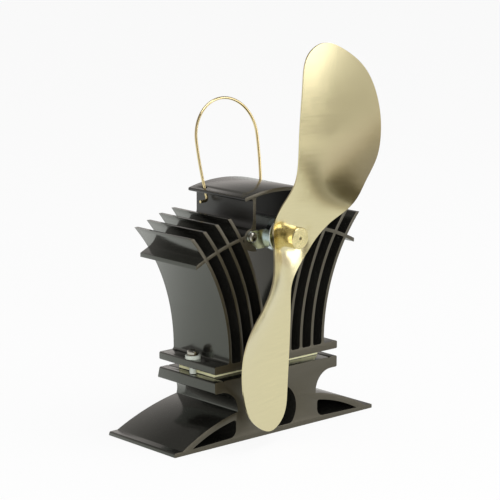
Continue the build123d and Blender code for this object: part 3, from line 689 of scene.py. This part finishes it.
class Light(Pattern):
    """Nodes of the floor or of the room, which choose what a ray sees."""

    def __init__(self, tree, coordinates):
        super().__init__(tree, coordinates)
        self.path = self.nodes.new("ShaderNodeLightPath")

    def combine(self, operation, first, second):
        """One sum of two values, either of which may be a number."""
        node = self.nodes.new("ShaderNodeMath")
        node.operation = operation
        self.feed(first, node.inputs[0])
        self.feed(second, node.inputs[1])
        return node.outputs[0]

    def seen(self):
        """1 for what the camera sees."""
        return self.path.outputs["Is Camera Ray"]

    def mirrored(self):
        """1 for what a gloss or a glass shows."""
        glossy = self.path.outputs["Is Glossy Ray"]
        through = self.path.outputs["Is Transmission Ray"]
        return self.combine("MAXIMUM", glossy, through)

    def far_from(self, centre, near, far):
        """0 within the near distance from a place, rising smoothly to 1 at the far distance."""
        apart = self.nodes.new("ShaderNodeVectorMath")
        apart.operation = "DISTANCE"
        apart.inputs[1].default_value = centre
        self.links.new(self.place, apart.inputs[0])
        rise = self.spread(apart.outputs["Value"], 0.0, 1.0, near, far)
        rise.node.interpolation_type = "SMOOTHSTEP"
        return rise

    def choose(self, factor, first, second):
        """A blend of two shaders."""
        mix = self.nodes.new("ShaderNodeMixShader")
        self.feed(factor, mix.inputs["Fac"])
        self.links.new(first, mix.inputs[1])
        self.links.new(second, mix.inputs[2])
        return mix.outputs[0]

    def glow(self, kind, strength, tone=None):
        """An emission or background of some strength, white unless it has a tone."""
        node = self.nodes.new(kind)
        node.inputs["Color"].default_value = (*WHITE, 1.0)
        if tone is not None:
            self.links.new(tone, node.inputs["Color"])
        self.feed(strength, node.inputs["Strength"])
        return node.outputs[0]


def floor_material(studio):
    """Pale floor: white to the camera and in reflections, darker far out on the studio's open side."""
    material = bpy.data.materials.new("pale_floor")
    material.use_nodes = True
    tree = material.node_tree
    shader = tree.nodes["Principled BSDF"]
    shader.inputs["Base Color"].default_value = (*studio.floor, 1.0)
    shader.inputs["Roughness"].default_value = FLOOR_ROUGHNESS
    shader.inputs["Specular IOR Level"].default_value = 0.0
    light = Light(tree, "Object")
    reach = studio.open_side_distance
    darkest = direction(studio.open_floor_side) * reach
    pale = light.far_from(darkest, OPEN_FLOOR_NEAR * reach, OPEN_FLOOR_FAR * reach)
    shown = light.spread(pale, studio.open_side_level, studio.floor_glow, 0.0, 1.0)
    tone = light.tint(pale, studio.open_side_tone, studio.floor_tone)
    reflected = light.glow("ShaderNodeEmission", shown, tone)
    white = light.glow("ShaderNodeEmission", 1.0)
    in_gloss = light.combine("MULTIPLY", light.mirrored(), studio.floor_share)
    surface = light.choose(in_gloss, shader.outputs[0], reflected)
    in_view = light.combine("MULTIPLY", light.seen(), studio.floor_white)
    surface = light.choose(in_view, surface, white)
    tree.links.new(surface, tree.nodes["Material Output"].inputs["Surface"])
    return material


def room(studio):
    """Even pale room, white to the camera, and darker overhead and on its open side in reflections."""
    world = bpy.data.worlds.new("pale_room")
    bpy.context.scene.world = world
    world.use_nodes = True
    tree = world.node_tree
    light = Light(tree, "Generated")
    height = tree.nodes.new("ShaderNodeSeparateXYZ")
    tree.links.new(light.place, height.inputs[0])
    by_height = light.spread(height.outputs["Z"], studio.room_horizon, studio.room_top, ROOM_LOW, ROOM_HIGH)
    open_side = direction(studio.open_side, OPEN_SIDE_ELEVATION)
    lit = light.far_from(open_side, OPEN_SIDE_NEAR, OPEN_SIDE_FAR)
    by_side = light.spread(lit, studio.open_side_level, 1.0, 0.0, 1.0)
    strength = light.combine("MULTIPLY", by_height, by_side)
    tone = light.tint(lit, studio.open_side_tone, studio.room_tone)
    even = light.glow("ShaderNodeBackground", studio.room_light)
    reflected = light.glow("ShaderNodeBackground", strength, tone)
    white = light.glow("ShaderNodeBackground", 1.0)
    shown = light.choose(light.mirrored(), even, reflected)
    shown = light.choose(light.seen(), shown, white)
    tree.links.new(shown, tree.nodes["World Output"].inputs["Surface"])


def soft_lamp(name, towards, width, watts):
    """A large square white lamp in some direction from the object, which it points at."""
    place = LAMP_AIM + towards * LAMP_DISTANCE
    bpy.ops.object.light_add(type="AREA", location=place)
    lamp = bpy.context.object
    lamp.name = name
    lamp.data.shape = "SQUARE"
    lamp.data.size = width
    lamp.data.energy = watts
    lamp.data.color = WHITE
    lamp.rotation_euler = (LAMP_AIM - place).to_track_quat("-Z", "Y").to_euler()
    return lamp


def place_lamps(studio):
    """Three soft lamps. The low front one isn't mirrored, so it lights only what is matt."""
    soft_lamp("key_lamp", direction(KEY_AZIMUTH, KEY_ELEVATION), KEY_WIDTH, studio.key_power)
    soft_lamp("top_lamp", direction(TOP_AZIMUTH, TOP_ELEVATION), TOP_WIDTH, studio.top_power)
    towards_front = direction(FRONT_AZIMUTH, FRONT_ELEVATION)
    front = soft_lamp("front_lamp", towards_front, FRONT_WIDTH, studio.front_power)
    front.visible_glossy = False


def place_floor(studio):
    """The plain pale floor that the object stands on."""
    bpy.ops.mesh.primitive_plane_add(size=FLOOR_WIDTH, location=(0.0, 0.0, 0.0))
    floor = bpy.context.object
    floor.name = "floor"
    floor.data.materials.append(floor_material(studio))


def place_camera():
    """The camera where the photograph was taken from."""
    bpy.ops.object.camera_add(location=CAMERA_PLACE)
    camera = bpy.context.object
    camera.name = "camera"
    camera.rotation_euler = (LEVEL - CAMERA_PITCH, 0.0, -CAMERA_YAW)
    camera.data.sensor_width = SENSOR_WIDTH
    camera.data.lens = CAMERA_FOCAL_PIXELS * SENSOR_WIDTH / PICTURE_PIXELS
    camera.data.clip_start = CAMERA_NEAR
    bpy.context.scene.camera = camera


class STOVEFAN_OT_stage(StoveFanOperator, bpy.types.Operator):
    """Add the floor, the soft lamps, the room and the camera"""

    bl_idname = "stove_fan.stage"
    bl_label = "Stage"

    def execute(self, context):
        _, _, studio = settings()
        bpy.ops.object.select_all(action="DESELECT")
        place_floor(studio)
        place_lamps(studio)
        room(studio)
        place_camera()
        context.scene.view_settings.view_transform = "Standard"
        return {"FINISHED"}


OPERATORS = (
    STOVEFAN_OT_extrusions,
    STOVEFAN_OT_sandwich,
    STOVEFAN_OT_clamps,
    STOVEFAN_OT_motor,
    STOVEFAN_OT_rotor,
    STOVEFAN_OT_blade,
    STOVEFAN_OT_bail,
    STOVEFAN_OT_stage,
)


class STOVEFAN_PT_panel(bpy.types.Panel):
    """Sizes, colours and steps of the stove fan"""

    bl_label = "Stove Fan"
    bl_idname = "STOVEFAN_PT_panel"
    bl_space_type = "VIEW_3D"
    bl_region_type = "UI"
    bl_category = "Stove Fan"

    def draw(self, context):
        for group in settings():
            box = self.layout.box()
            for name in group.__annotations__:
                box.prop(group, name)
        for operator in OPERATORS:
            self.layout.operator(operator.bl_idname)


CLASSES = (StoveFanSizes, StoveFanColours, StoveFanStudio, *OPERATORS, STOVEFAN_PT_panel)


def register():
    for entry in CLASSES:
        bpy.utils.register_class(entry)
    bpy.types.Scene.stove_fan_sizes = PointerProperty(type=StoveFanSizes)
    bpy.types.Scene.stove_fan_colours = PointerProperty(type=StoveFanColours)
    bpy.types.Scene.stove_fan_studio = PointerProperty(type=StoveFanStudio)


def unregister():
    del bpy.types.Scene.stove_fan_sizes
    del bpy.types.Scene.stove_fan_colours
    del bpy.types.Scene.stove_fan_studio
    for entry in reversed(CLASSES):
        bpy.utils.unregister_class(entry)


def main():
    register()
    bpy.ops.stove_fan.extrusions()
    bpy.ops.stove_fan.sandwich()
    bpy.ops.stove_fan.clamps()
    bpy.ops.stove_fan.motor()
    bpy.ops.stove_fan.rotor()
    bpy.ops.stove_fan.blade()
    bpy.ops.stove_fan.bail()
    bpy.ops.stove_fan.stage()


if __name__ == "__main__":
    main()
